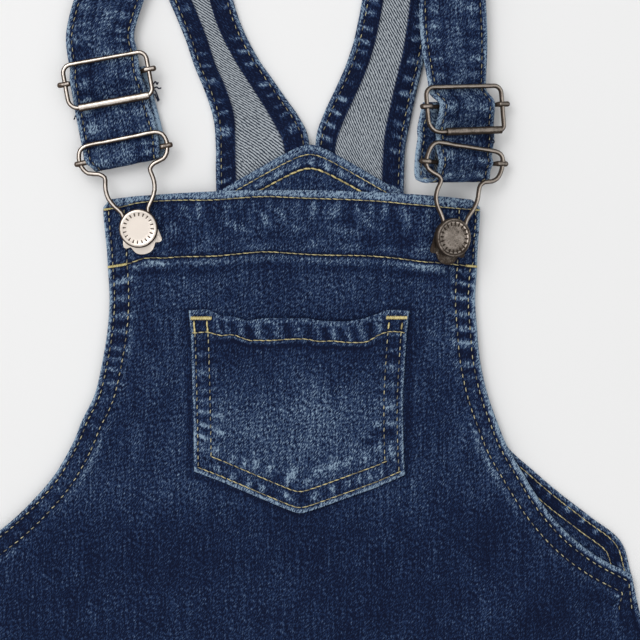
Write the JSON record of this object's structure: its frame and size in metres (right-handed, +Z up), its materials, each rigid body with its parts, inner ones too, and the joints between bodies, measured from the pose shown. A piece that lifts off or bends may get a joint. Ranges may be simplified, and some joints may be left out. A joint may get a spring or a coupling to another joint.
{
  "type": "denim pinafore dress, laid flat",
  "caption": "Child's denim pinafore dress lying flat on its back, with patch pocket, slide-adjusted straps, wire hooks and tack buttons.",
  "frame": {"origin": "centre of the bounding box at the surface that the garment lies on", "axes": "+X across the garment, to the right as seen from above; +Y from the hem towards the shoulders; +Z up, out of the garment's front"},
  "size_m": [0.39, 0.492, 0.0211],
  "materials": {
    "denim": "matt washed indigo twill",
    "nickel": "aged nickel, satin"
  },
  "bodies": {
    "root": {"back_panel": "denim", "back_facing": "denim", "front_panel": "denim", "pocket": "denim", "strap_left": "denim", "strap_right": "denim", "slider_frame_left": "nickel", "slider_frame_right": "nickel", "slider_bar_left": "nickel", "slider_bar_right": "nickel", "slider_roller_left": "nickel", "slider_roller_right": "nickel", "hook_wire_left": "nickel", "hook_wire_right": "nickel", "hook_bar_left": "nickel", "hook_bar_right": "nickel", "hook_plate_left": "nickel", "hook_plate_right": "nickel", "button_left": "nickel", "button_right": "nickel"}
  },
  "joints": []
}
